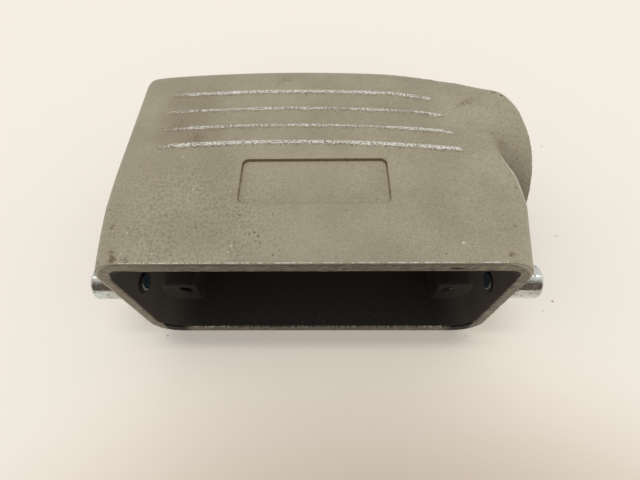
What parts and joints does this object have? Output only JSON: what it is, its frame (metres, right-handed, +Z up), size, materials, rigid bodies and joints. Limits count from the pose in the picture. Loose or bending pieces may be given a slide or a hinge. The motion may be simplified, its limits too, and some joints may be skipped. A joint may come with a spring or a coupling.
{
  "type": "connector hood",
  "caption": "Die-cast hood of a rectangular heavy-duty connector, with an arched ribbed shell, a threaded side cable entry and a locking peg at each end.",
  "frame": {"origin": "under the middle of the whole part, on the large face it lies on", "axes": "+X along the hood towards the cable entry, +Y from the mating rim towards the roof, +Z up from the large face it lies on"},
  "size_m": [0.113, 0.064, 0.0437],
  "materials": {
    "hood_paint": "satin hammered grey paint, worn on the edges and ribs",
    "zinc_steel": "bright zinc plating"
  },
  "bodies": {
    "root": {"hood_shell": "hood_paint", "left_locking_peg": "zinc_steel", "right_locking_peg": "zinc_steel"}
  },
  "joints": []
}
